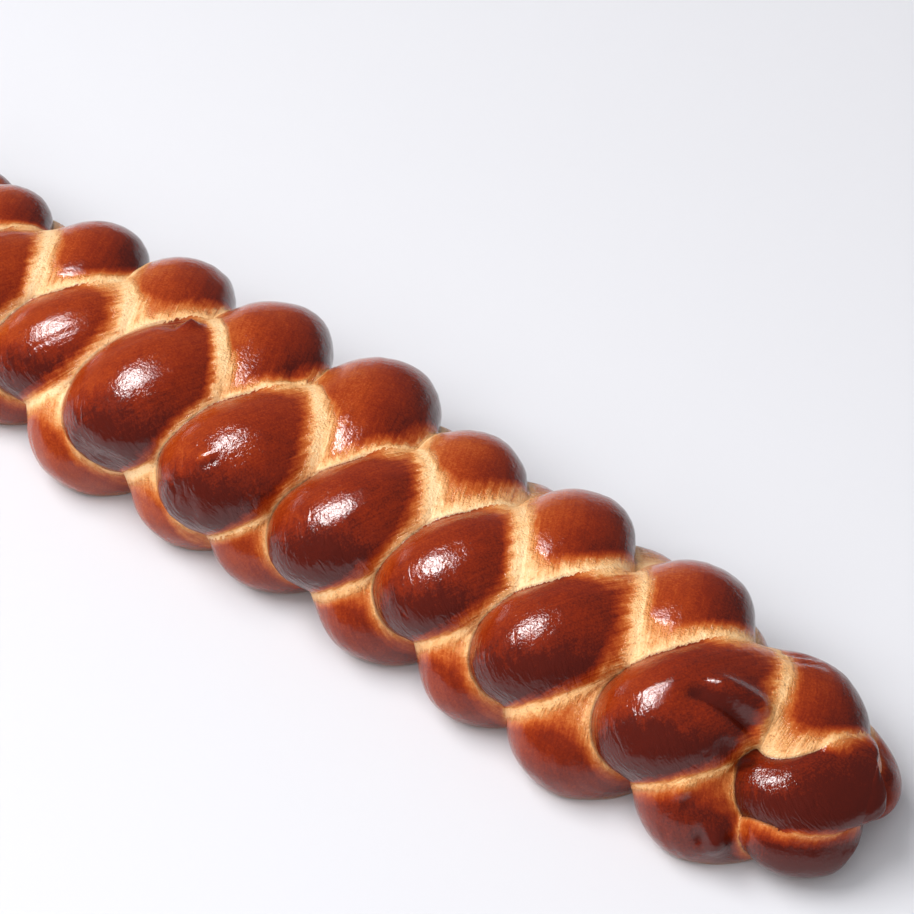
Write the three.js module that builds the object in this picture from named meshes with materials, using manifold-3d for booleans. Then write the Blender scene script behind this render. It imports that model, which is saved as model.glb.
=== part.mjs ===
import * as THREE from 'three';
import { mergeVertices } from 'three/addons/utils/BufferGeometryUtils.js';
import Module from 'manifold-3d';

// A long challah of four strands, braided round and baked: millimetres, +X along the loaf, +Z up.
// Seen across the loaf the strands show four rows of lobes: near top, far top, near base, far base.
// A step is the spacing of the lobes in a row, and every place along a strand is given in steps.

// Spacing of the lobes along the loaf, in millimetres
const stepLength = 70;

// Distance of a strand from the middle of the loaf where it lies on top and where it dives under
const outerReach = 32.5;
const innerReach = 10;

// Radius of a strand where it lies on top and where it dives under
const lobeRadius = 35;
const diveRadius = 24.5;

// Strands are a little flatter through than across
const strandThickness = 0.92;

// Spread of the dough sideways, its slump above and below the middle, and the height of the middle
const spread = 1.27;
const slumpAbove = 0.765;
const slumpBelow = 0.9;
const middleHeight = 38;

// Turn of a lobe at the middle of a row, degrees from the far side over the top
const nearTopTurn = 135;
const farTopTurn = 45;

// Share by which a strand turns slower round the loaf where it lies on top, and faster where it dives
const topEase = { nearTop: 0.2, farTop: 0.2 };

// Both ends: where the steps begin to shorten, how far they can still run, and where the strands thin out
const endStart = { near: 7.5, far: -1.6 };
const endRun = 1.3;
const thinStart = { near: 6.9, far: -1 };
const thinRun = 2.4;
const thinnestPart = 0.3;

// Both ends: where the loaf sinks and narrows, over what length, by what share
const sinkStart = { near: 480, far: -60 };
const sinkLength = 115;
const sinkShare = 0.35;
const narrowShare = 0.2;

// The near end drifts a little towards the far side
const driftStart = 430;
const driftLength = 170;
const driftAside = 7;

// Rounded ends of a strand, in steps
const capLength = 0.32;

// Facets: rings of a strand in one step, and sides round a strand
const ringsPerStep = 11;
const sidesRound = 18;

// A short way along a strand, in steps, over which its direction is taken
const shortWay = 0.01;

// Facets smaller than this where strands meet are merged, in millimetres
const sliverSize = 0.1;

// A block as long and wide as this, its middle under the middle of the loaf, cuts the flat underside
const blockLength = 1200;
const blockThickness = 60;
const blockMiddle = 200;

// The four strands: which way they wind, the step of their first top lobe, where they begin and end,
// and for the strand that tops the near end, where its winding stops and how soon
const strands = [
  { winding: 'nearTop', first: 0, begin: -2.6, end: 8.75, windingStop: 8, stopRun: 0.3 },
  { winding: 'nearTop', first: 1, begin: -2.8, end: 8.3 },
  { winding: 'farTop', first: 0, begin: -2.3, end: 8.15 },
  { winding: 'farTop', first: 1, begin: -2.75, end: 8.7 },
];

// Fullness and outward push (mm) of the lobes in each row
const rows = {
  nearTop: { fullness: 0.95, push: 0 },
  farTop: { fullness: 0.9, push: 3 },
  nearBase: { fullness: 0.93, push: 2 },
  farBase: { fullness: 0.94, push: 3 },
};

// Lobes that differ from their row: slide along (mm), turn round the loaf (degrees), fullness, push (mm)
const lobeChanges = {
  nearTop: {
    0: [6, -1, 0.04, 1],
    1: [-1, 3, -0.04, -2],
    2: [0, -3, 0.2, 2],
    3: [-2, 9, 0.12, 2],
    4: [3, 7, 0, 2],
    5: [-1, -2, -0.06, -1],
    6: [-7, 5, -0.06, 0],
    7: [1, 0, 0, -2],
    8: [12, -2, -0.32, -2],
  },
  farTop: {
    0: [6, 4, -0.14, -10],
    1: [5, 8, -0.02, -5],
    2: [-11, -13, 0.02, -3],
    3: [-10, -3, 0.1, 0],
    4: [-8, -15, 0.14, -2],
    5: [-8, -9, -0.04, -5],
    6: [-3, 7, -0.02, -3],
    7: [2, 2, -0.02, -6],
    8: [14, 10, -0.12, -14],
  },
  nearBase: {
    1: [1, -2, -0.02, 0],
    2: [7, -10, 0.06, 3],
    3: [9, -4, 0.02, 1],
    4: [-7, -9, 0, -1],
    5: [0, -6, -0.02, 1],
    6: [-2, -7, -0.04, 1],
    7: [-10, -2, 0.16, 0],
    8: [-3, 5, 0.08, 2],
    9: [-7, 1, 0.1, 1],
  },
  farBase: {
    0: [0, -10, -0.14, -6],
    7: [-9, -4, -0.18, -7],
    8: [20, 16, -0.5, -12],
  },
};

// Lobes without a change of their own vary in soft waves: how much, and each wave's pace and start
const softSlide = { size: 3, pace: 2.3, start: 0.6 };
const softTurn = { size: 4, pace: 1.7, start: 2 };
const softFullness = { size: 0.04, pace: 2.9, start: 1 };

// Crust colour in the browned parts
const crustColour = 0x8a3d1e;
const crustRoughness = 0.35;

const fullTurn = Math.PI * 2;

function radians(degrees) {
  return (degrees * Math.PI) / 180;
}

function clamp01(value) {
  return Math.min(1, Math.max(0, value));
}

// A value that follows its input up to a start and then levels off within a run
function levelOff(value, start, run) {
  if (value <= start) {
    return value;
  }
  return start + run * (1 - Math.exp(-(value - start) / run));
}

// Millimetres along the loaf of a place given in steps
function alongLoaf(place) {
  if (place < endStart.far) {
    return -stepLength * levelOff(-place, -endStart.far, endRun);
  }
  return stepLength * levelOff(place, endStart.near, endRun);
}

// 1 in the middle of the loaf, falling towards both ends
function endThinning(place) {
  const near = clamp01((place - thinStart.near) / thinRun);
  const far = clamp01((thinStart.far - place) / thinRun);
  return Math.sqrt((1 - near * near) * (1 - far * far));
}

// How far a place has got into the sinking zone of its end
function sinkDepth(x) {
  const near = clamp01((x - sinkStart.near) / sinkLength);
  const far = clamp01((sinkStart.far - x) / sinkLength);
  return near * near + far * far;
}

function rowOfLobe(strand, count) {
  const even = count % 2 === 0;
  if (strand.winding === 'nearTop') {
    return even ? 'nearTop' : 'farBase';
  }
  return even ? 'farTop' : 'nearBase';
}

function softWave(wave, number) {
  return wave.size * Math.sin(wave.pace * number + wave.start);
}

function changeOfLobe(row, number) {
  const change = lobeChanges[row][number];
  if (change) {
    return change;
  }
  const slide = softWave(softSlide, number);
  const turn = softWave(softTurn, number);
  const fullness = softWave(softFullness, number);
  return [slide, turn, fullness, 0];
}

// Middle, turn and radius of a strand at a place, before the loaf slumps
function strandAt(strand, place) {
  const winds = strand.winding === 'nearTop';
  const shift = winds ? strand.first : strand.first + 0.5;
  const wound = strand.windingStop ? levelOff(place, strand.windingStop, strand.stopRun) : place;
  const fromFirst = wound - shift;
  const onTop = (1 + Math.cos(fullTurn * fromFirst)) / 2;
  const eased = fromFirst - (topEase[strand.winding] * Math.sin(fullTurn * fromFirst)) / fullTurn;
  const start = winds ? nearTopTurn : farTopTurn;
  const windingSign = winds ? -1 : 1;
  let turn = start + windingSign * 180 * eased;

  // The nearest lobes before and after share the change between them
  const before = Math.floor(place - shift);
  let slide = 0;
  let fullness = 0;
  let push = 0;
  for (const count of [before, before + 1]) {
    const away = place - shift - count;
    const share = Math.abs(away) < 0.5 ? Math.cos(Math.PI * away) ** 2 : 0;
    const row = rowOfLobe(strand, count);
    const number = Math.round(strand.first + count + (winds ? 0 : 1));
    const change = changeOfLobe(row, number);
    slide += share * change[0];
    turn += share * change[1];
    fullness += share * (rows[row].fullness - 1 + change[2]);
    push += share * (rows[row].push + change[3]);
  }

  const thinning = endThinning(place);
  const reach = (innerReach + (outerReach - innerReach) * onTop) * thinning + push;
  const thick = diveRadius + (lobeRadius - diveRadius) * onTop;
  const radius = thick * (thinnestPart + (1 - thinnestPart) * thinning) * (1 + fullness);
  const angle = radians(turn);
  const middle = new THREE.Vector3(
    alongLoaf(place) + slide,
    reach * Math.cos(angle),
    reach * Math.sin(angle),
  );
  return { middle, angle, radius };
}

// The dough spreads sideways and slumps, and both ends sink and narrow
function slump(point) {
  const sink = sinkDepth(point.x);
  const drift = clamp01((point.x - driftStart) / driftLength);
  const slumpShare = point.z > 0 ? slumpAbove : slumpBelow;
  const y = point.y * spread * (1 - narrowShare * sink) + driftAside * drift * drift;
  const z = (middleHeight + point.z * slumpShare) * (1 - sinkShare * sink);
  return new THREE.Vector3(point.x, y, z);
}

// A closed manifold solid from a geometry
function solidFrom(geometry, wasm) {
  geometry.deleteAttribute('normal');
  geometry.deleteAttribute('uv');
  const welded = mergeVertices(geometry);
  const vertProperties = new Float32Array(welded.getAttribute('position').array);
  const triVerts = new Uint32Array(welded.getIndex().array);
  const mesh = new wasm.Mesh({ numProp: 3, vertProperties, triVerts });
  return new wasm.Manifold(mesh);
}

// One strand: a ball drawn out along the winding path, its poles at the strand's ends
function strandSolid(strand, wasm) {
  const length = strand.end - strand.begin;
  const rings = Math.round(length * ringsPerStep);
  const ball = new THREE.SphereGeometry(1, sidesRound, rings);
  const position = ball.getAttribute('position');
  for (let i = 0; i < position.count; i += 1) {
    const unit = new THREE.Vector3().fromBufferAttribute(position, i);
    const polar = Math.acos(THREE.MathUtils.clamp(unit.y, -1, 1));
    const place = strand.begin + (length * polar) / Math.PI;
    const around = Math.atan2(unit.z, unit.x);
    const here = strandAt(strand, place);
    const ahead = strandAt(strand, place + shortWay).middle;
    const behind = strandAt(strand, place - shortWay).middle;
    const direction = ahead.sub(behind).normalize();
    const outward = new THREE.Vector3(0, Math.cos(here.angle), Math.sin(here.angle));
    outward.addScaledVector(direction, -outward.dot(direction)).normalize();
    const across = new THREE.Vector3().crossVectors(direction, outward);
    const fromEnd = clamp01(Math.min(place - strand.begin, strand.end - place) / capLength);
    const capped = here.radius * Math.sqrt(1 - (1 - fromEnd) ** 2);
    const point = here.middle
      .addScaledVector(outward, capped * strandThickness * Math.cos(around))
      .addScaledVector(across, capped * Math.sin(around));
    const rested = slump(point);
    position.setXYZ(i, rested.x, rested.y, rested.z);
  }
  return solidFrom(ball, wasm);
}

function geometryFrom(solid) {
  const mesh = solid.getMesh();
  const geometry = new THREE.BufferGeometry();
  const places = new Float32Array((mesh.vertProperties.length / mesh.numProp) * 3);
  for (let i = 0; i < places.length / 3; i += 1) {
    places[3 * i] = mesh.vertProperties[mesh.numProp * i];
    places[3 * i + 1] = mesh.vertProperties[mesh.numProp * i + 1];
    places[3 * i + 2] = mesh.vertProperties[mesh.numProp * i + 2];
  }
  geometry.setAttribute('position', new THREE.BufferAttribute(places, 3));
  geometry.setIndex(new THREE.BufferAttribute(new Uint32Array(mesh.triVerts), 1));
  geometry.computeVertexNormals();
  return geometry;
}

const wasm = await Module();
wasm.setup();

let dough = strandSolid(strands[0], wasm);
for (const strand of strands.slice(1)) {
  dough = dough.add(strandSolid(strand, wasm));
}

// The underside is flat where the loaf lay while it baked
const block = new THREE.BoxGeometry(blockLength, blockLength, blockThickness);
block.translate(blockMiddle, 0, -blockThickness / 2);
dough = dough.subtract(solidFrom(block, wasm));

// Slivers where strands meet are drawn together
dough = dough.asOriginal().simplify(sliverSize);

const crust = new THREE.MeshStandardMaterial({
  color: crustColour,
  roughness: crustRoughness,
  metalness: 0,
});

const loafGeometry = geometryFrom(dough);
loafGeometry.computeBoundingBox();
const box = loafGeometry.boundingBox;
loafGeometry.translate(-(box.min.x + box.max.x) / 2, -(box.min.y + box.max.y) / 2, -box.min.z);

const loaf = new THREE.Mesh(loafGeometry, crust);
loaf.name = 'challah';

const part = new THREE.Group();
part.name = 'challah_loaf';
part.add(loaf);

export default part;
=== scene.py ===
# A long four-strand challah, braided round, egg-washed and baked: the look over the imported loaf
import math

import bpy
import numpy as np
from mathutils import Matrix, Vector


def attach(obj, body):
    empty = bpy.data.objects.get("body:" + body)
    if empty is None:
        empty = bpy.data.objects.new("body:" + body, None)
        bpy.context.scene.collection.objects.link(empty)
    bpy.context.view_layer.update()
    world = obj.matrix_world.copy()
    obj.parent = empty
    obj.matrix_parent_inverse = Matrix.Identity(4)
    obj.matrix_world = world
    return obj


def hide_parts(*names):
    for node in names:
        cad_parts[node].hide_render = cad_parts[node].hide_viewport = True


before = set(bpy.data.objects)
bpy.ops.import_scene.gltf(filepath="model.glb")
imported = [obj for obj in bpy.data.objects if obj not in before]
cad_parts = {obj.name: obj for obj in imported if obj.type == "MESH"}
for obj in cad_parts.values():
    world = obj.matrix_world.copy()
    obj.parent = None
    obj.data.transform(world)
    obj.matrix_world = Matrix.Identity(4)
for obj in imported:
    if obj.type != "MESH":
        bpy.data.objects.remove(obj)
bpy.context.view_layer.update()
scene = bpy.context.scene


# Node building: a socket that takes part in sums, and one method that adds any node
class Flow:
    def __init__(self, bench, socket):
        self.bench = bench
        self.socket = socket

    def math(self, operation, *others):
        return self.bench.add("ShaderNodeMath", {"operation": operation}, [self, *others]).out(0)

    def __add__(self, other):
        return self.math("ADD", other)

    def __radd__(self, other):
        return self.math("ADD", other)

    def __sub__(self, other):
        return self.math("SUBTRACT", other)

    def __rsub__(self, other):
        return (-self) + other

    def __mul__(self, other):
        return self.math("MULTIPLY", other)

    def __rmul__(self, other):
        return self.math("MULTIPLY", other)

    def __truediv__(self, other):
        return self.math("DIVIDE", other)

    def __neg__(self):
        return self.math("MULTIPLY", -1.0)

    def __pow__(self, other):
        return self.math("POWER", other)

    def __gt__(self, other):
        return self.math("GREATER_THAN", other)

    def __lt__(self, other):
        return self.math("LESS_THAN", other)

    def least(self, other):
        return self.math("MINIMUM", other)

    def most(self, other):
        return self.math("MAXIMUM", other)

    def clamped(self):
        return self.most(0.0).least(1.0)

    def bell(self, width):
        return (-((self / width) ** 2.0)).math("EXPONENT")

    def smooth(self, low, high):
        return self.bench.add("ShaderNodeMapRange", {"interpolation_type": "SMOOTHSTEP"},
                              {"Value": self, "From Min": low, "From Max": high}).out("Result")


class Made:  # a node that was added, and its outputs
    def __init__(self, bench, node):
        self.bench = bench
        self.node = node

    def out(self, key=0):
        shown = [s for s in self.node.outputs if s.enabled]
        if isinstance(key, int):
            return Flow(self.bench, shown[key])
        return Flow(self.bench, next(s for s in shown if s.name == key))


class Bench:  # a node tree that nodes are added to
    def __init__(self, tree):
        self.tree = tree

    def add(self, kind, settings=None, values=None):
        node = self.tree.nodes.new(kind)
        for name, setting in (settings or {}).items():
            if name == "stops":
                self.setStops(node.color_ramp, setting)
            else:
                setattr(node, name, setting)
        shown = [s for s in node.inputs if s.enabled]
        pairs = enumerate(values) if isinstance(values, list) else (values or {}).items()
        for key, value in pairs:
            isPlace = isinstance(key, int)
            socket = shown[key] if isPlace else next(s for s in shown if s.name == key)
            self.feed(socket, value)
        return Made(self, node)

    def feed(self, socket, value):
        if isinstance(value, list):
            for one in value:
                self.feed(socket, one)
        elif isinstance(value, Flow):
            self.tree.links.new(value.socket, socket)
        else:
            socket.default_value = value

    def setStops(self, ramp, stops):
        while len(ramp.elements) < len(stops):
            ramp.elements.new(0.5)
        for element, (place, colour) in zip(ramp.elements, stops):
            element.position = place
            element.color = (*colour, 1.0)

    def vector(self, operation, *values):
        made = self.add("ShaderNodeVectorMath", {"operation": operation}, list(values))
        return made.out("Value" if operation in ("DOT_PRODUCT", "LENGTH") else "Vector")

    def scaled(self, vector, amount):
        return self.vector("SCALE", vector, amount)

    def joined(self, x, y, z):
        return self.add("ShaderNodeCombineXYZ", None, [x, y, z]).out(0)

    def parts(self, vector):
        split = self.add("ShaderNodeSeparateXYZ", None, [vector])
        return split.out(0), split.out(1), split.out(2)

    def mixed(self, share, one, other):
        made = self.add("ShaderNodeMix", {"data_type": "RGBA"},
                        {"Factor": share, "A": one, "B": (*other, 1.0)})
        return made.out("Result")

    def noise(self, vector, scale, detail=2.0, roughness=0.5, distortion=0.0):
        if isinstance(scale, tuple):    # its own scale along each axis
            vector, scale = self.vector("MULTIPLY", vector, scale), 1.0
        return self.add("ShaderNodeTexNoise", None,
                        {"Vector": vector, "Scale": scale, "Detail": detail,
                         "Roughness": roughness, "Distortion": distortion}).out(0)

    # Fields and steps of Geometry Nodes
    def position(self):
        return self.add("GeometryNodeInputPosition").out(0)

    def normal(self):
        return self.add("GeometryNodeInputNormal").out(0)

    def named(self, name, kind="FLOAT"):
        return self.add("GeometryNodeInputNamedAttribute", {"data_type": kind},
                        {"Name": name}).out("Attribute")

    def stored(self, geometry, name, value, kind="FLOAT", domain="POINT"):
        return self.add("GeometryNodeStoreNamedAttribute", {"data_type": kind, "domain": domain},
                        {"Geometry": geometry, "Name": name, "Value": value}).out("Geometry")

    def sampled(self, geometry, value, index, kind="FLOAT"):
        return self.add("GeometryNodeSampleIndex", {"data_type": kind, "domain": "POINT"},
                        {"Geometry": geometry, "Value": value, "Index": index}).out("Value")

    def blurred(self, value, times, kind="FLOAT", weight=1.0):
        return self.add("GeometryNodeBlurAttribute", {"data_type": kind},
                        {"Value": value, "Iterations": times, "Weight": weight}).out(0)

    def moved(self, geometry, values):
        return self.add("GeometryNodeSetPosition", None, {"Geometry": geometry, **values}).out(0)


# The braid's rule, in metres and in steps from lobe to lobe, as the loaf's solid has it
braid = {
    "stepLength": 0.070,
    "outerReach": 0.0325,       # a strand's distance from the middle where it lies on top
    "innerReach": 0.010,        # and where it dives under
    "lobeRadius": 0.035,
    "diveRadius": 0.0245,
    "endStart": (-1.6, 7.5),    # here the steps begin to shorten
    "endRun": 1.3,
    "thinStart": (-1.0, 6.9),   # and here the strands begin to thin
    "thinRun": 2.4,
    "thinnestPart": 0.3,
    "capLength": 0.32,
    "topTurn": {"near": 135.0, "far": 45.0},
    "topEase": {"near": 0.20, "far": 0.20},     # how much slower a strand turns on top
    "rowFullness": {"nearTop": 0.95, "farTop": 0.90, "nearBase": 0.93, "farBase": 0.94},
    "rowPush": {"nearTop": 0.0, "farTop": 0.003, "nearBase": 0.002, "farBase": 0.003},
    "rings": 790,               # rings along each strand
}
rowOrder = ["nearTop", "farTop", "nearBase", "farBase"]

# Winding, first top lobe, begin, end, and where the winding stops with its run-out
strands = [
    ("near", 0, -2.6, 8.75, (8.0, 0.3)),
    ("near", 1, -2.8, 8.3, None),
    ("far", 0, -2.3, 8.15, None),
    ("far", 1, -2.75, 8.7, None),
]

# Lobes that differ from their row: slide (mm), turn (degrees), fullness, push (mm)
lobeChanges = {
    "nearTop": {0: (6, -1, .04, 1), 1: (-1, 3, -.04, -2), 2: (0, -3, .2, 2), 3: (-2, 9, .12, 2),
                4: (3, 7, 0, 2), 5: (-1, -2, -.06, -1), 6: (-7, 5, -.06, 0), 7: (1, 0, 0, -2),
                8: (12, -2, -.32, -2)},
    "farTop": {0: (6, 4, -.14, -10), 1: (5, 8, -.02, -5), 2: (-11, -13, .02, -3),
               3: (-10, -3, .1, 0), 4: (-8, -15, .14, -2), 5: (-8, -9, -.04, -5),
               6: (-3, 7, -.02, -3), 7: (2, 2, -.02, -6), 8: (14, 10, -.12, -14)},
    "nearBase": {1: (1, -2, -.02, 0), 2: (7, -10, .06, 3), 3: (9, -4, .02, 1),
                 4: (-7, -9, 0, -1), 5: (0, -6, -.02, 1), 6: (-2, -7, -.04, 1),
                 7: (-10, -2, .16, 0), 8: (-3, 5, .08, 2), 9: (-7, 1, .1, 1)},
    "farBase": {0: (0, -10, -.14, -6), 7: (-9, -4, -.18, -7), 8: (20, 16, -.5, -12)},
}

# The other lobes slide, turn and swell in soft waves: how much, and each wave's pace and start
softWaves = [(3, 2.3, 0.6), (4, 1.7, 2), (0.04, 2.9, 1)]

# How much browner than usual a lobe baked, and how wide its seams tore open
lobeCrust = {
    "nearTop": {0: (-.08, 1), 1: (-.02, 1), 2: (.03, .7), 3: (.03, .8), 4: (.07, .8), 5: (.06, 1),
                6: (.11, .9), 7: (.10, .8), 8: (.26, .35)},
    "farTop": {0: (.04, .8), 1: (.06, 1.2), 2: (.04, .9), 3: (.04, .3), 4: (.07, .4),
               5: (-.01, 1), 6: (.04, 1.4), 7: (.07, 1.1), 8: (.10, 1.3)},
    "nearBase": {2: (-.08, 1), 3: (-.06, 1.2), 4: (0, 1), 5: (.04, 1), 6: (.03, 1), 7: (.07, 1.1),
                 8: (.15, .6), 9: (.30, .2)},
}
otherCrust = {"size": 0.05, "pace": 5.1, "rowStep": 2.3, "torn": 1.0}   # other lobes: a soft wave


def levelOff(value, start, run):
    return np.where(value > start, start + run * (1 - np.exp(-(value - start) / run)), value)


def alongLoaf(place):
    low, high = braid["endStart"]
    far = -levelOff(-place, -low, braid["endRun"])
    near = levelOff(place, high, braid["endRun"])
    return braid["stepLength"] * np.where(place < low, far, near)


def endThinning(place):
    low, high = braid["thinStart"]
    near = np.clip((place - high) / braid["thinRun"], 0, 1)
    far = np.clip((low - place) / braid["thinRun"], 0, 1)
    return np.sqrt((1 - near ** 2) * (1 - far ** 2))


def changeOfLobe(row, number):
    if number in lobeChanges[row]:
        return lobeChanges[row][number]
    return (*(size * math.sin(pace * number + start) for size, pace, start in softWaves), 0)


def crustOfLobe(row, number):
    wave = math.sin(otherCrust["pace"] * number + otherCrust["rowStep"] * rowOrder.index(row))
    usual = (otherCrust["size"] * wave, otherCrust["torn"])
    return lobeCrust.get(row, {}).get(number, usual)


def rowOfLobe(near, count):
    even = count % 2 == 0
    if near:
        return "nearTop" if even else "farBase"
    return "farTop" if even else "nearBase"


def strandPath(winding, first, begin, end, stop):
    place = np.linspace(begin, end, braid["rings"])
    near = winding == "near"
    shift = first if near else first + 0.5
    wound = levelOff(place, *stop) if stop else place
    fromFirst = wound - shift
    onTop = (1 + np.cos(2 * np.pi * fromFirst)) / 2
    eased = fromFirst - braid["topEase"][winding] * np.sin(2 * np.pi * fromFirst) / (2 * np.pi)
    turn = braid["topTurn"][winding] + (-180 if near else 180) * eased
    slide, fullness, push, row, tone, torn, fromMiddle = np.zeros((7, len(place)))
    for count in range(math.floor(begin - shift), math.ceil(end - shift) + 1):
        away = place - shift - count
        here = np.abs(away) < 0.5
        share = np.where(here, np.cos(np.pi * away) ** 2, 0)
        name = rowOfLobe(near, count)
        number = first + count + (0 if near else 1)
        change = changeOfLobe(name, number)
        slide += share * change[0] / 1000
        turn += share * change[1]
        fullness += share * (braid["rowFullness"][name] - 1 + change[2])
        push += share * (braid["rowPush"][name] + change[3] / 1000)
        row[here] = rowOrder.index(name)
        tone[here], torn[here] = crustOfLobe(name, number)
        fromMiddle[here] = away[here]
    thinning = endThinning(place)
    reach = (braid["innerReach"]
             + (braid["outerReach"] - braid["innerReach"]) * onTop) * thinning + push
    thick = braid["diveRadius"] + (braid["lobeRadius"] - braid["diveRadius"]) * onTop
    least = braid["thinnestPart"]
    radius = thick * (least + (1 - least) * thinning) * (1 + fullness)
    angle = np.radians(turn)
    middle = np.stack([alongLoaf(place) + slide, reach * np.cos(angle),
                       reach * np.sin(angle)], 1)
    direction = np.gradient(middle, axis=0)
    direction /= np.linalg.norm(direction, axis=1)[:, None]
    outward = np.stack([np.zeros_like(angle), np.cos(angle), np.sin(angle)], 1)
    outward -= (outward * direction).sum(1)[:, None] * direction
    outward /= np.linalg.norm(outward, axis=1)[:, None]
    fromEnd = np.clip(np.minimum(place - begin, end - place) / braid["capLength"], 0, 1)
    return {"position": middle, "outward": outward, "across": np.cross(direction, outward),
            "radius": radius * np.sqrt(1 - (1 - fromEnd) ** 2), "place": place,
            "row": row, "tone": tone, "fromMiddle": fromMiddle, "torn": torn}


def pathMesh():
    paths = [strandPath(*strand) for strand in strands]
    joined = {key: np.concatenate([path[key] for path in paths]) for key in paths[0]}
    mesh = bpy.data.meshes.new("strandPaths")
    mesh.from_pydata(joined.pop("position").tolist(), [], [])
    for name, values in joined.items():
        isVector = values.ndim == 2
        attribute = mesh.attributes.new(name, "FLOAT_VECTOR" if isVector else "FLOAT", "POINT")
        attribute.data.foreach_set("vector" if isVector else "value",
                                   values.astype(np.float32).ravel())
    return mesh


# How the loaf is shaped by Geometry Nodes, in metres
loaf = {
    "Rings": braid["rings"],
    "Sides": 150,
    "Strand Flatness": 0.92,
    "Lumps": 0.0016,            # soft lumps a few centimetres across
    "Furrows": 0.0005,          # shallow furrows that run along a strand
    "Spread": 1.27,
    "Slump Above": 0.765,
    "Slump Below": 0.90,
    "Middle Height": 0.038,
    "Seam Fill": 0.0026,        # how far stretched dough fills a seam between two opened sides
    "Seam Width": 0.0055,
}
strandInputs = ("Rings", "Sides", "Strand Flatness", "Lumps", "Furrows")
wholeInputs = ("Rings", "Sides")    # these are whole numbers

# The skin of a strand: scales of its lumps and furrows, and the radius from which they are full
strandSkin = {
    "lumpScale": 26.0,
    "furrowScale": (14.0, 130.0, 130.0),    # along the strand, then across it
    "fullRadius": 0.03,
    "weldDistance": 0.00002,
}

# Where a side of a lobe is open: its flank looks along the loaf (-1 to 1), and the other limits
# are steps from the lobe's middle
openLimits = {
    "nearFlank": (0.0, 0.4),
    "nearEnd": (0.08, 0.19),
    "nearEndFlank": (-0.85, -0.45),
    "farFlank": (-0.15, 0.15),
    "farEnd": (0.08, 0.18),
    "farCorner": (0.02, 0.2),
    "farCornerFlank": (-0.1, 0.6),
    "baseFlank": (0.10, 0.5),
    "baseStart": (0.05, 0.2),
}
baseOpening = {"flank": 0.8, "start": 0.88}     # a base lobe never opens fully

# How wide such a side stayed pale beside its seam, and how far that fades, in metres
paleEdges = {
    "nearFlank": (0.0003, 0.0088),
    "nearEnd": (0.0002, 0.0150),
    "farFlank": (0.0016, 0.0060),
    "farEnd": (0.0016, 0.0172),
    "farCorner": (0.0038, 0.0120),
    "baseFlank": (0.0008, 0.0090),
    "baseStart": (0.0016, 0.0160),
}

# A near-top lobe is browned up to an arc: its reach and bend in steps, and the metres of a step
brownArc = {"reach": 0.405, "bend": 0.06, "step": 0.125, "leastTorn": 0.5}

# Painted shade: how much darker a lobe is coloured towards its right flank, its end and its low
# near side, where less light falls
shading = {
    "flank": 0.10,
    "farFlank": 0.26,
    "nearFlank": 0.06,
    "farEnd": -0.30,
    "baseEnd": 0.15,
    "farAll": -0.03,
    "nearLow": 0.30,
    "lowLimits": (0.52, 1.05),
    "lowLean": 0.1,
    "wrinkleLimits": (0.3, 0.85),
}

# Where the ends sink and narrow, and how the near end drifts aside
endShape = {"sinkStart": (-0.060, 0.480), "sinkLength": 0.115, "sinkShare": 0.35,
            "narrowShare": 0.2, "driftStart": 0.430, "driftLength": 0.170, "driftAside": 0.007}

# The middle of the loaf's box, seen from the braid's own start
boxMiddle = (0.2076015, -0.0007223)

# How often the seams are smoothed, and how open both sides are where dough fills one
seamShape = {
    "opennessRounds": 12,
    "lineRounds": 9,
    "distanceRounds": 70,
    "fillRounds": 14,
    "fillLimits": (0.45, 0.95),
    "onTheSeam": 0.00001,
}

# Marks of single lobes, mm from the middle of the box: place, size, height, how much browner; in
# hollows that darkening is painted shade
marks = {
    "tornBlister": ((3, -61, 74), 6.5, 2.0, -0.05),
    "blisterHollow": ((4, -61, 75), 2.6, -3.4, 0.40),
    "blisterRim": ((0, -59, 75), 2.8, 1.4, -0.30),
    "knobOfSecondLobe": ((-70, 5, 82), 5.0, 5.0, 0.16),
    "besideTheKnob": ((-77, 1, 82), 5.0, -2.4, 0.12),
    "tuckedEnd": ((-57, -75, 48), 9.0, -2.4, 0.06),
    "darkSpot": ((-179, 46, 69), 3.0, 1.2, 0.45),
    "dentBehindThirdLobe": ((-8, 18, 74), 6.0, -2.2, 0.18),
    "hollowBeforeTheFold": ((296, -37, 76), 9.0, -1.2, 0.03),
    "smallBlisterByTheFold": ((281, -30, 78), 3.0, 0.8, 0.05),
    "blisterLow": ((309, -57, 44), 4.6, 3.4, -0.08),
    "hollowByTheBlister": ((313, -59, 41), 2.4, -3.0, 0.10),
    "lumpLow": ((331, -59, 24), 6.5, 5.5, 0.10),
    "hollowByTheLump": ((325, -63, 26), 3.6, -3.4, 0.08),
    "strandEndAtTheTip": ((377, 23, 34), 8.0, 6.0, 0.35),
}
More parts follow.
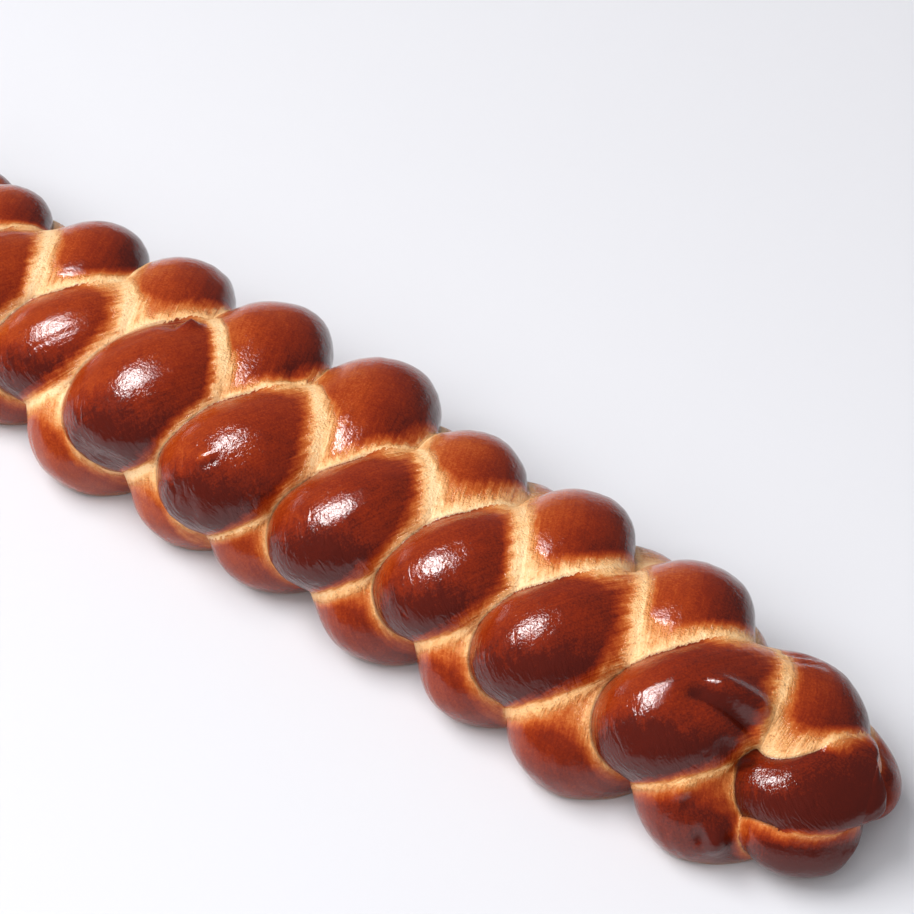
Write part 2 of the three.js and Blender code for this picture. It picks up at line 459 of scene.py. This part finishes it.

# Folds and cracks: where from and to, width, depth, how much browner; in the grooves that
# darkening is painted shade
folds = {
    "foldOfSeventhLobe": ((292, -27, 78), (319, -18, 64), 3.0, 5.6, 0.35),
    "ridgeOverTheFold": ((301, -17, 76), (316, -9, 68), 6.5, -5.5, 0.0),
    "crackInTheSeam": ((315, -34, 58), (325, -26, 48), 2.6, 1.5, 0.25),
    "stretchedTop": ((300, 35, 61), (314, 46, 53), 2.2, 1.4, 0.12),
    "stretchedTopBehind": ((306, 30, 64), (322, 42, 54), 2.0, 1.0, 0.08),
    "wrinkleOfSecondLobe": ((-88, -3, 81), (-78, 11, 79), 1.8, 1.2, 0.05),
    "wrinkleBeside": ((-93, -2, 80), (-84, 12, 77), 1.8, 1.0, 0.03),
    "creaseOfSecondLobe": ((-76, -79, 50), (-54, -77, 40), 2.4, 2.4, 0.15),
    "creaseOfThirdLobe": ((-6, -75, 62), (8, -77, 58), 2.0, 1.4, 0.15),
    "creaseBelow": ((-6, -78, 56), (10, -80, 52), 2.0, 1.4, 0.15),
    "creaseOfSixthLobe": ((196, -75, 52), (214, -77, 44), 2.0, 1.6, 0.15),
    "creaseOfSeventhLobe": ((276, -73, 54), (296, -71, 46), 2.0, 1.8, 0.15),
}
foldFlatness = (1.0, 1.0, 0.2)  # heights count less, so a fold reaches over a round top

# The block that cuts the flat underside, and how straight down a face looks that stays flat
underside = {"block": (1.2, 1.2, 0.1), "flatBelow": -0.999}


def newGroup(name, inputs):
    tree = bpy.data.node_groups.new(name, "GeometryNodeTree")
    for label, kind, value in inputs:
        socket = tree.interface.new_socket(name=label, in_out="INPUT",
                                           socket_type="NodeSocket" + kind)
        if value is not None:
            socket.default_value = value
    tree.interface.new_socket(name="Geometry", in_out="OUTPUT",
                              socket_type="NodeSocketGeometry")
    bench = Bench(tree)
    return bench, bench.add("NodeGroupInput")


def loafInputs(names):
    return [(name, "Int" if name in wholeInputs else "Float", loaf[name]) for name in names]


def inMetres(place):
    return tuple(value / 1000 for value in place)


# Where the sides of a lobe opened while baking, from 0 to 1
def openedSides(isNear, isFar, isBase, flankX, fromMiddle):
    def within(name, value):
        return value.smooth(*openLimits[name])

    return {
        "nearFlank": isNear * within("nearFlank", flankX),
        "nearEnd": isNear * within("nearEnd", fromMiddle) * within("nearEndFlank", flankX),
        "farFlank": isFar * within("farFlank", -flankX),
        "farEnd": isFar * within("farEnd", fromMiddle),
        "farCorner": isFar * within("farCorner", fromMiddle) * within("farCornerFlank", -flankX),
        "baseFlank": isBase * within("baseFlank", flankX) * baseOpening["flank"],
        "baseStart": isBase * within("baseStart", -fromMiddle) * baseOpening["start"],
    }


def buildStrandTree():
    bench, given = newGroup("rolledStrand", [
        ("Paths", "Geometry", None), ("Strand", "Int", 0)] + loafInputs(strandInputs))
    strand, rings = given.out("Strand"), given.out("Rings")
    grid = bench.add("GeometryNodeMeshGrid", None,
                     {"Size X": 1.0, "Size Y": 1.0, "Vertices X": rings,
                      "Vertices Y": given.out("Sides") + 1}).out("Mesh")
    grid = bench.stored(grid, "onGrid", bench.position(), "FLOAT_VECTOR")
    u, v, _ = bench.parts(bench.named("onGrid", "FLOAT_VECTOR"))
    index = ((u + 0.5) * (rings - 1)).math("ROUND") + strand * rings

    def onPath(value, kind="FLOAT"):
        return bench.sampled(given.out("Paths"), value, index, kind)

    middle = onPath(bench.position(), "FLOAT_VECTOR")
    outward, across = (onPath(bench.named(name, "FLOAT_VECTOR"), "FLOAT_VECTOR")
                       for name in ("outward", "across"))
    radius, place, row, fromMiddle, tone, torn = (
        onPath(bench.named(name))
        for name in ("radius", "place", "row", "fromMiddle", "tone", "torn"))

    # The round strand, with soft lumps and furrows
    angle = (v + 0.5) * (2 * math.pi)
    cosine, sine = angle.math("COSINE"), angle.math("SINE")
    radial = bench.vector("ADD", bench.scaled(outward, cosine), bench.scaled(across, sine))
    ring = bench.vector("ADD",
                        bench.scaled(outward, radius * cosine * given.out("Strand Flatness")),
                        bench.scaled(across, radius * sine))
    smoothSkin = bench.vector("ADD", middle, ring)
    apart = bench.joined(strand, 0, 0)
    grain = bench.joined(place * braid["stepLength"] + strand, radius * cosine, radius * sine)
    soft = bench.noise(bench.vector("ADD", smoothSkin, apart), strandSkin["lumpScale"],
                       detail=1.0) - 0.5
    furrow = bench.noise(grain, strandSkin["furrowScale"]) - 0.5
    thick = (radius / strandSkin["fullRadius"]).least(1.0)
    lump = (soft * given.out("Lumps") + furrow * given.out("Furrows")) * thick * 2.0
    skin = bench.vector("ADD", smoothSkin, bench.scaled(radial, lump))
    tube = bench.moved(grid, {"Position": skin})
    tube = bench.add("GeometryNodeFlipFaces", None, {"Mesh": tube}).out(0)

    # How wide each side opened, and how far its paleness fades
    flankX, flankY, _ = bench.parts(radial)
    isBase = row > 1.5
    isFar = (row > 0.5) * (1.0 - isBase)
    isNear = 1.0 - isBase - isFar
    sides = openedSides(isNear, isFar, isBase, flankX, fromMiddle)
    opened = bare = fade = None
    for name, share in sides.items():
        bareHere = share * torn * paleEdges[name][0]
        fadeHere = share * (torn * 0.5 + 0.5) * paleEdges[name][1]
        opened = share if opened is None else opened.most(share)
        bare = bareHere if bare is None else bare.most(bareHere)
        fade = fadeHere if fade is None else fade.most(fadeHere)

    # The arc is out of the way in other rows, and where a lobe hardly tore
    arc = brownArc["reach"] - fromMiddle - flankX * flankX * brownArc["bend"]
    toEnd = (arc * brownArc["step"] + (1.0 - isNear)
             + (brownArc["leastTorn"] - torn).most(0.0))

    # Painted shade: a far-top lobe is darkened backwards, and the low near side of a near-top
    # lobe is darkened most
    low = (-flankY + flankX * shading["lowLean"]).smooth(*shading["lowLimits"])
    shade = (flankX * (isFar * shading["farFlank"] + isNear * shading["nearFlank"]
                       + shading["flank"])
             + fromMiddle * isFar * shading["farEnd"] + low * isNear * shading["nearLow"]
             + fromMiddle * isBase * shading["baseEnd"] + isFar * shading["farAll"])
    wrinkled = (-flankY).smooth(*shading["wrinkleLimits"]) * isNear

    tube = bench.stored(tube, "grain", grain, "FLOAT_VECTOR", "CORNER")
    kept = {"opened": opened, "bare": bare, "fade": fade, "tone": tone,
            "ending": sides["nearEnd"].most(sides["farEnd"]), "toEnd": toEnd,
            "shade": shade, "wrinkled": wrinkled}
    for name, value in kept.items():
        tube = bench.stored(tube, name, value, "FLOAT", "CORNER")
    tube = bench.add("GeometryNodeRemoveAttribute", None,
                     {"Geometry": tube, "Name": "onGrid"}).out(0)
    closed = bench.add("GeometryNodeMergeByDistance", None,
                       {"Geometry": tube, "Distance": strandSkin["weldDistance"]}).out(0)
    bench.add("NodeGroupOutput", None, [closed])
    return bench.tree


# The four strands as one solid, with the edges marked along which they meet
def joinStrands(bench, given, strandTree):
    rolled = []
    for number in range(len(strands)):
        group = bench.add("GeometryNodeGroup", {"node_tree": strandTree}, {
            "Paths": given.out("Geometry"), "Strand": number,
            **{name: given.out(name) for name in strandInputs}})
        rolled.append(group.out(0))
    union = bench.add("GeometryNodeMeshBoolean", {"operation": "UNION", "solver": "MANIFOLD"},
                      [rolled])
    return bench.stored(union.out(0), "meeting", union.out(1), "BOOLEAN", "EDGE")


# The dough spreads sideways and slumps, and both ends sink and narrow
def restDough(bench, given, geometry):
    x, y, z = bench.parts(bench.position())
    low, high = endShape["sinkStart"]
    sink = (((x - high) / endShape["sinkLength"]).clamped() ** 2.0
            + ((low - x) / endShape["sinkLength"]).clamped() ** 2.0)
    drift = ((x - endShape["driftStart"]) / endShape["driftLength"]).clamped() ** 2.0
    slumped = z.most(0.0) * given.out("Slump Above") + z.least(0.0) * given.out("Slump Below")
    newY = y * given.out("Spread") * (1.0 - sink * endShape["narrowShare"])
    newZ = (slumped + given.out("Middle Height")) * (1.0 - sink * endShape["sinkShare"])
    rested = bench.joined(x - boxMiddle[0],
                          newY + drift * endShape["driftAside"] - boxMiddle[1], newZ)
    return bench.moved(geometry, {"Position": rested})


# Distance from the seams, how open the nearest one is, and dough that fills the open ones
def fillSeams(bench, given, geometry):
    rested = bench.stored(geometry, "openness", bench.named("opened"))
    seams = bench.add("GeometryNodeSeparateGeometry", {"domain": "EDGE"}, {
        "Geometry": rested, "Selection": bench.named("meeting", "BOOLEAN")}).out(0)
    away = bench.add("GeometryNodeProximity", {"target_element": "EDGES"},
                     {"Geometry": seams}).out("Distance")
    even = bench.blurred(bench.named("openness"), seamShape["opennessRounds"])
    seams = bench.stored(seams, "openness", even)
    drawn = bench.blurred(bench.position(), seamShape["lineRounds"], "FLOAT_VECTOR")
    seams = bench.stored(seams, "drawn", drawn, "FLOAT_VECTOR")
    nearest = bench.add("GeometryNodeSampleNearest", {"domain": "POINT"},
                        {"Geometry": seams}).out(0)
    meet = bench.sampled(seams, bench.named("openness"), nearest)
    rounded = bench.blurred(away, seamShape["distanceRounds"])
    marked = bench.stored(rested, "seam", away.least(rounded))
    marked = bench.stored(marked, "meet", meet)
    onSeam = bench.sampled(seams, bench.named("drawn", "FLOAT_VECTOR"), nearest, "FLOAT_VECTOR")
    marked = bench.moved(marked, {"Selection": away < seamShape["onTheSeam"],
                                  "Position": onSeam})

    near = bench.named("seam").bell(given.out("Seam Width"))
    near = near * bench.named("meet").smooth(*seamShape["fillLimits"])
    fill = bench.scaled(bench.normal(), near * given.out("Seam Fill"))
    filled = bench.moved(marked, {"Offset": fill})
    blurred = bench.blurred(bench.position(), seamShape["fillRounds"], "FLOAT_VECTOR", near)
    return bench.moved(filled, {"Position": blurred})


# Marks, folds and cracks of single lobes: their relief, and their darkening, which is real
# browning on knobs and spots and painted shade in hollows and grooves
def markLobes(bench, geometry):
    here = bench.position()
    lift, burnt = 0.0, 0.0
    for place, size, height, browner in marks.values():
        apart = bench.vector("LENGTH", bench.vector("SUBTRACT", here, inMetres(place)))
        near = apart.bell(size / 1000)
        lift = lift + near * (height / 1000)
        burnt = burnt + near * browner
    for start, end, width, depth, browner in folds.values():
        along = (Vector(inMetres(end)) - Vector(inMetres(start))) * Vector(foldFlatness)
        fromStart = bench.vector("MULTIPLY", bench.vector("SUBTRACT", here, inMetres(start)),
                                 foldFlatness)
        share = bench.vector("DOT_PRODUCT", fromStart, tuple(along)) / along.length_squared
        nearest = bench.scaled(tuple(along), share.clamped())
        apart = bench.vector("LENGTH", bench.vector("SUBTRACT", fromStart, nearest))
        near = apart.bell(width / 1000)
        lift = lift - near * (depth / 1000)
        burnt = burnt + near * browner
    marked = bench.stored(geometry, "burnt", burnt)
    return bench.moved(marked, {"Offset": bench.scaled(bench.normal(), lift)})


def buildLoafTree(strandTree):
    bench, given = newGroup("braidedLoaf", [("Geometry", "Geometry", None)]
                            + loafInputs(loaf) + [("Crust", "Material", None)])
    joined = joinStrands(bench, given, strandTree)
    rested = restDough(bench, given, joined)
    filled = fillSeams(bench, given, rested)
    marked = markLobes(bench, filled)

    # The flat underside
    block = bench.add("GeometryNodeMeshCube", None, {"Size": underside["block"]}).out("Mesh")
    block = bench.add("GeometryNodeTransform", None, {
        "Geometry": block, "Translation": (0.0, 0.0, -underside["block"][2] / 2)}).out(0)
    cut = bench.add("GeometryNodeMeshBoolean", {"operation": "DIFFERENCE", "solver": "MANIFOLD"},
                    [marked, block]).out(0)
    _, _, up = bench.parts(bench.normal())
    smooth = bench.add("GeometryNodeSetShadeSmooth", None, {
        "Geometry": cut, "Shade Smooth": up > underside["flatBelow"]}).out(0)
    real = bench.add("GeometryNodeRealizeInstances", None, {"Geometry": smooth}).out(0)
    finished = bench.add("GeometryNodeSetMaterial", None,
                         {"Geometry": real, "Material": given.out("Crust")}).out(0)
    bench.add("NodeGroupOutput", None, [finished])
    return bench.tree


# Noises over the crust: scale, detail, roughness, distortion
crustNoises = {
    "patches": (42.0, 3.0),
    "ragged": (210.0, 4.0, 0.6),
    "mottle": (430.0, 3.0, 0.65, 0.8),
    "speck": (950.0, 2.0, 0.6),
    "speckle": (850.0, 2.0, 0.6),
    "crumb": (900.0, 2.0),
}

# Noises that follow a strand: scale along it and across it, detail, roughness, distortion
grainNoises = {
    "lines": ((60.0, 700.0, 700.0), 3.0, 0.6, 0.4),
    "tears": ((70.0, 330.0, 330.0), 2.0, 0.5, 0.6),
    "wrinkles": ((950.0, 90.0, 90.0), 2.0, 0.5, 0.8),
}

# The crust: its browning, its colours and its gloss, with lengths in metres
crust = {
    "stops": [                  # from an open seam to the darkest crust
        (0.00, (0.95, 0.64, 0.335)),
        (0.13, (0.88, 0.48, 0.200)),
        (0.25, (0.75, 0.32, 0.100)),
        (0.37, (0.60, 0.185, 0.043)),
        (0.50, (0.44, 0.086, 0.014)),
        (0.64, (0.31, 0.038, 0.0050)),
        (0.80, (0.200, 0.0170, 0.0028)),
        (1.00, (0.078, 0.0068, 0.0028)),
    ],
    "leastFade": 0.0004,
    "edgeShares": {"ragged": 0.4, "lines": 0.25, "tears": 0.15},    # noises at a pale edge
    "tearsAtEnds": 0.4,
    "browned": 0.72,
    "rawest": 0.02,
    "brownShares": {"patches": 0.28, "lines": 0.18, "speck": 0.15, "ragged": 0.12,
                    "mottle": 0.12},
    "speckOnBrown": 0.2,
    # painted shade and light along the wrinkles' grooves, as a share of the colour
    "wrinkleShadeShare": 0.40,
    "paleLimits": (0.12, 0.45),
    "pitColour": (0.42, 0.16, 0.045),
    "pitLimits": (0.58, 0.72),
    "pitShare": 0.6,
    # a dark line painted as shade in the tight creases
    "creviceShadeColour": (0.060, 0.014, 0.007),
    "creviceShadeWidth": 0.0016,
    "creviceShadeLimits": (0.3, 0.8),    # how open a seam is where its crevice lightens
    "creviceShadeShare": 0.8,
    "undersideColour": (0.42, 0.17, 0.055),
    "footHeights": (0.0008, 0.0085),
    "footWaver": 0.004,
    "footShare": 0.6,
    "gloss": 0.10,
    "crumbRoughness": 0.42,
    "footRoughness": 0.2,
    "raggedRoughness": 0.08,
}

# Relief under the gloss, in metres
relief = {
    "wrinkles": 0.00085,
    "lines": 0.00007,
    "patches": 0.0005,
    "ragged": 0.00032,
    "speckle": 0.00014,
    "crumb": 0.00055,
    "mottleInCrumb": 1.5,
}


def buildCrust():
    material = bpy.data.materials.new("eggWashedCrust")
    material.use_nodes = True
    material.node_tree.nodes.clear()
    bench = Bench(material.node_tree)

    def attribute(name, output="Fac"):
        return bench.add("ShaderNodeAttribute", {"attribute_name": name}).out(output)

    seam, opened, meet = attribute("seam"), attribute("opened"), attribute("meet")
    bare, fade, ending = attribute("bare"), attribute("fade"), attribute("ending")
    tone, toEnd, shade = attribute("tone"), attribute("toEnd"), attribute("shade")
    # The marks' darkening: real browning on knobs and spots, painted shade in hollows, folds and
    # cracks
    burnt, wrinkled = attribute("burnt"), attribute("wrinkled")
    place, grain = bench.add("ShaderNodeTexCoord").out("Object"), attribute("grain", "Vector")
    _, _, high = bench.parts(place)
    noise = {name: bench.noise(place, *how) for name, how in crustNoises.items()}
    noise.update((name, bench.noise(grain, *how)) for name, how in grainNoises.items())
    uneven = {name: value - 0.5 for name, value in noise.items()}
    wrinkles = uneven["wrinkles"] * wrinkled

    # How far from the open seam, from 0 to 1, and how brown
    away = (seam.least(toEnd) - bare * (0.5 + noise["patches"])) / (fade + crust["leastFade"])
    for name, share in crust["edgeShares"].items():
        away = away + uneven[name] * share
    away = away + uneven["tears"] * ending * crust["tearsAtEnds"]
    closed = 1.0 - opened * (1.0 - away.clamped())
    bake = closed * crust["browned"]
    for name, share in crust["brownShares"].items():
        bake = bake + uneven[name] * share
    # shade adds the painted shade of the lobes' flanks, ends and low near sides
    bake = bake + uneven["speck"] * closed * crust["speckOnBrown"] + tone + shade * closed
    # Painted shade and light in lines along the wrinkles' grooves
    bake = bake + wrinkles * closed * crust["wrinkleShadeShare"] + burnt + crust["rawest"]
    brown = bench.add("ShaderNodeValToRGB", {"stops": crust["stops"]},
                      [bake.clamped()]).out("Color")

    # Crumbly pits in the pale dough, painted shade in the tight creases, golden along the foot
    pale = 1.0 - bake.smooth(*crust["paleLimits"])
    pits = (noise["crumb"] + uneven["ragged"] * 0.5).smooth(*crust["pitLimits"])
    brown = bench.mixed(pits * pale * crust["pitShare"], brown, crust["pitColour"])
    # Painted shade: a dark line in the tight creases where one lobe overhangs the next
    creviceShade = 1.0 - seam.smooth(0.0, crust["creviceShadeWidth"])
    creviceShade = creviceShade * (1.0 - meet.smooth(*crust["creviceShadeLimits"])) * crust["creviceShadeShare"]
    colour = bench.mixed(creviceShade, brown, crust["creviceShadeColour"])
    foot = 1.0 - (high + uneven["ragged"] * crust["footWaver"]).smooth(*crust["footHeights"])
    colour = bench.mixed(foot * crust["footShare"], colour, crust["undersideColour"])

    roughness = (crust["gloss"] + pale * (crust["crumbRoughness"] - crust["gloss"])
                 + foot * crust["footRoughness"]
                 + uneven["ragged"] * crust["raggedRoughness"])
    crumb = noise["crumb"] + noise["tears"] + noise["mottle"] * relief["mottleInCrumb"]
    onBrown = wrinkles * relief["wrinkles"] + noise["speckle"] * relief["speckle"]
    height = (onBrown * (1.0 - pale) + crumb * pale * relief["crumb"]
              + noise["lines"] * relief["lines"] + noise["patches"] * relief["patches"]
              + noise["ragged"] * relief["ragged"])
    bump = bench.add("ShaderNodeBump", None, {"Strength": 1.0, "Distance": 1.0,
                                              "Height": height}).out("Normal")
    shader = bench.add("ShaderNodeBsdfPrincipled", None, {
        "Base Color": colour, "Roughness": roughness, "Normal": bump})
    bench.add("ShaderNodeOutputMaterial", None, {"Surface": shader.out("BSDF")})
    return material


def bakeLoaf():
    source = bpy.data.objects.new("strandPaths", pathMesh())
    scene.collection.objects.link(source)
    tree = buildLoafTree(buildStrandTree())
    modifier = source.modifiers.new("braidedLoaf", "NODES")
    modifier.node_group = tree
    values = dict(loaf, Crust=buildCrust())
    for item in tree.interface.items_tree:
        if item.in_out == "INPUT" and item.name in values:
            modifier[item.identifier] = values[item.name]
    evaluated = source.evaluated_get(bpy.context.evaluated_depsgraph_get())
    mesh = bpy.data.meshes.new_from_object(evaluated)
    bpy.data.objects.remove(source)
    piece = bpy.data.objects.new("challahLoaf", mesh)
    mesh.name = "challahLoaf"
    scene.collection.objects.link(piece)
    return piece


challahLoaf = bakeLoaf()
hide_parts("challah")
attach(challahLoaf, "root")
print("loaf baked", len(challahLoaf.data.vertices), "points")


# The floor and the lamps, whose side, away and up point towards them as the camera sees it
studio = {
    "floorColour": (0.68, 0.68, 0.71),
    "floorRoughness": 0.7,
    "floorSpecular": 0.2,
    "floorReach": 6.0,
    "worldColour": (0.93, 0.935, 1.0),
    "worldStrength": 0.155,
    "lampsAim": (0.12, 0.0, 0.04),
}
lamps = {
    "softbox": {"side": -0.38, "away": 0.31, "up": 0.87,
                "distance": 1.9, "size": 0.62, "power": 30.0, "lights": "gloss"},
    "window": {"side": -0.65, "away": 0.10, "up": 0.85,
               "distance": 4.0, "size": 3.4, "power": 190.0, "lights": "surface"},
    "room": {"side": -0.2, "away": -0.7, "up": 0.9,
             "distance": 3.5, "size": 4.0, "power": 86.0, "lights": "surface"},
}
view = {
    "place": (0.78364, -0.83803, 1.13032),
    "aim": (0.07702, 0.05474, 0.04),
    "lean": 1.3526,             # degrees
    "lens": 115.33,             # mm, on a sensor 36 mm wide
    "sensor": 36.0,
    "nearest": 0.05,
}


def buildFloor():
    reach = studio["floorReach"]
    corners = [(-reach, -reach, 0), (reach, -reach, 0), (reach, reach, 0), (-reach, reach, 0)]
    mesh = bpy.data.meshes.new("floor")
    mesh.from_pydata(corners, [], [(0, 1, 2, 3)])
    floor = bpy.data.objects.new("floor", mesh)
    material = bpy.data.materials.new("paleFloor")
    material.use_nodes = True
    shader = material.node_tree.nodes["Principled BSDF"]
    shader.inputs["Base Color"].default_value = (*studio["floorColour"], 1.0)
    shader.inputs["Roughness"].default_value = studio["floorRoughness"]
    shader.inputs["Specular IOR Level"].default_value = studio["floorSpecular"]
    mesh.materials.append(material)
    scene.collection.objects.link(floor)


def buildCamera():
    camera = bpy.data.objects.new("camera", bpy.data.cameras.new("camera"))
    camera.data.lens = view["lens"]
    camera.data.sensor_width = view["sensor"]
    camera.data.clip_start = view["nearest"]
    direction = Vector(view["aim"]) - Vector(view["place"])
    turn = direction.to_track_quat("-Z", "Y").to_matrix().to_4x4()
    lean = Matrix.Rotation(math.radians(view["lean"]), 4, "Z")
    camera.matrix_world = Matrix.Translation(view["place"]) @ turn @ lean
    scene.collection.objects.link(camera)
    scene.camera = camera
    return direction


def buildLamp(name, lamp, direction):
    forward = Vector((direction.x, direction.y, 0)).normalized()
    right = Vector((forward.y, -forward.x, 0))
    towards = (right * lamp["side"] + forward * lamp["away"]
               + Vector((0, 0, lamp["up"]))).normalized()
    light = bpy.data.lights.new(name, "AREA")
    light.shape = "DISK"
    light.size = lamp["size"]
    light.energy = lamp["power"]
    holder = bpy.data.objects.new(name, light)
    holder.location = Vector(studio["lampsAim"]) + towards * lamp["distance"]
    holder.rotation_euler = towards.to_track_quat("Z", "Y").to_euler()
    holder.visible_glossy = lamp["lights"] == "gloss"
    holder.visible_diffuse = lamp["lights"] == "surface"
    scene.collection.objects.link(holder)


def buildWorld():
    world = bpy.data.worlds.new("studio")
    world.use_nodes = True
    background = world.node_tree.nodes["Background"]
    background.inputs["Color"].default_value = (*studio["worldColour"], 1.0)
    background.inputs["Strength"].default_value = studio["worldStrength"]
    scene.world = world


buildFloor()
lookingAlong = buildCamera()
for lampName, lamp in lamps.items():
    buildLamp(lampName, lamp, lookingAlong)
buildWorld()
scene.view_settings.view_transform = "Standard"
print("floor, light and camera set")
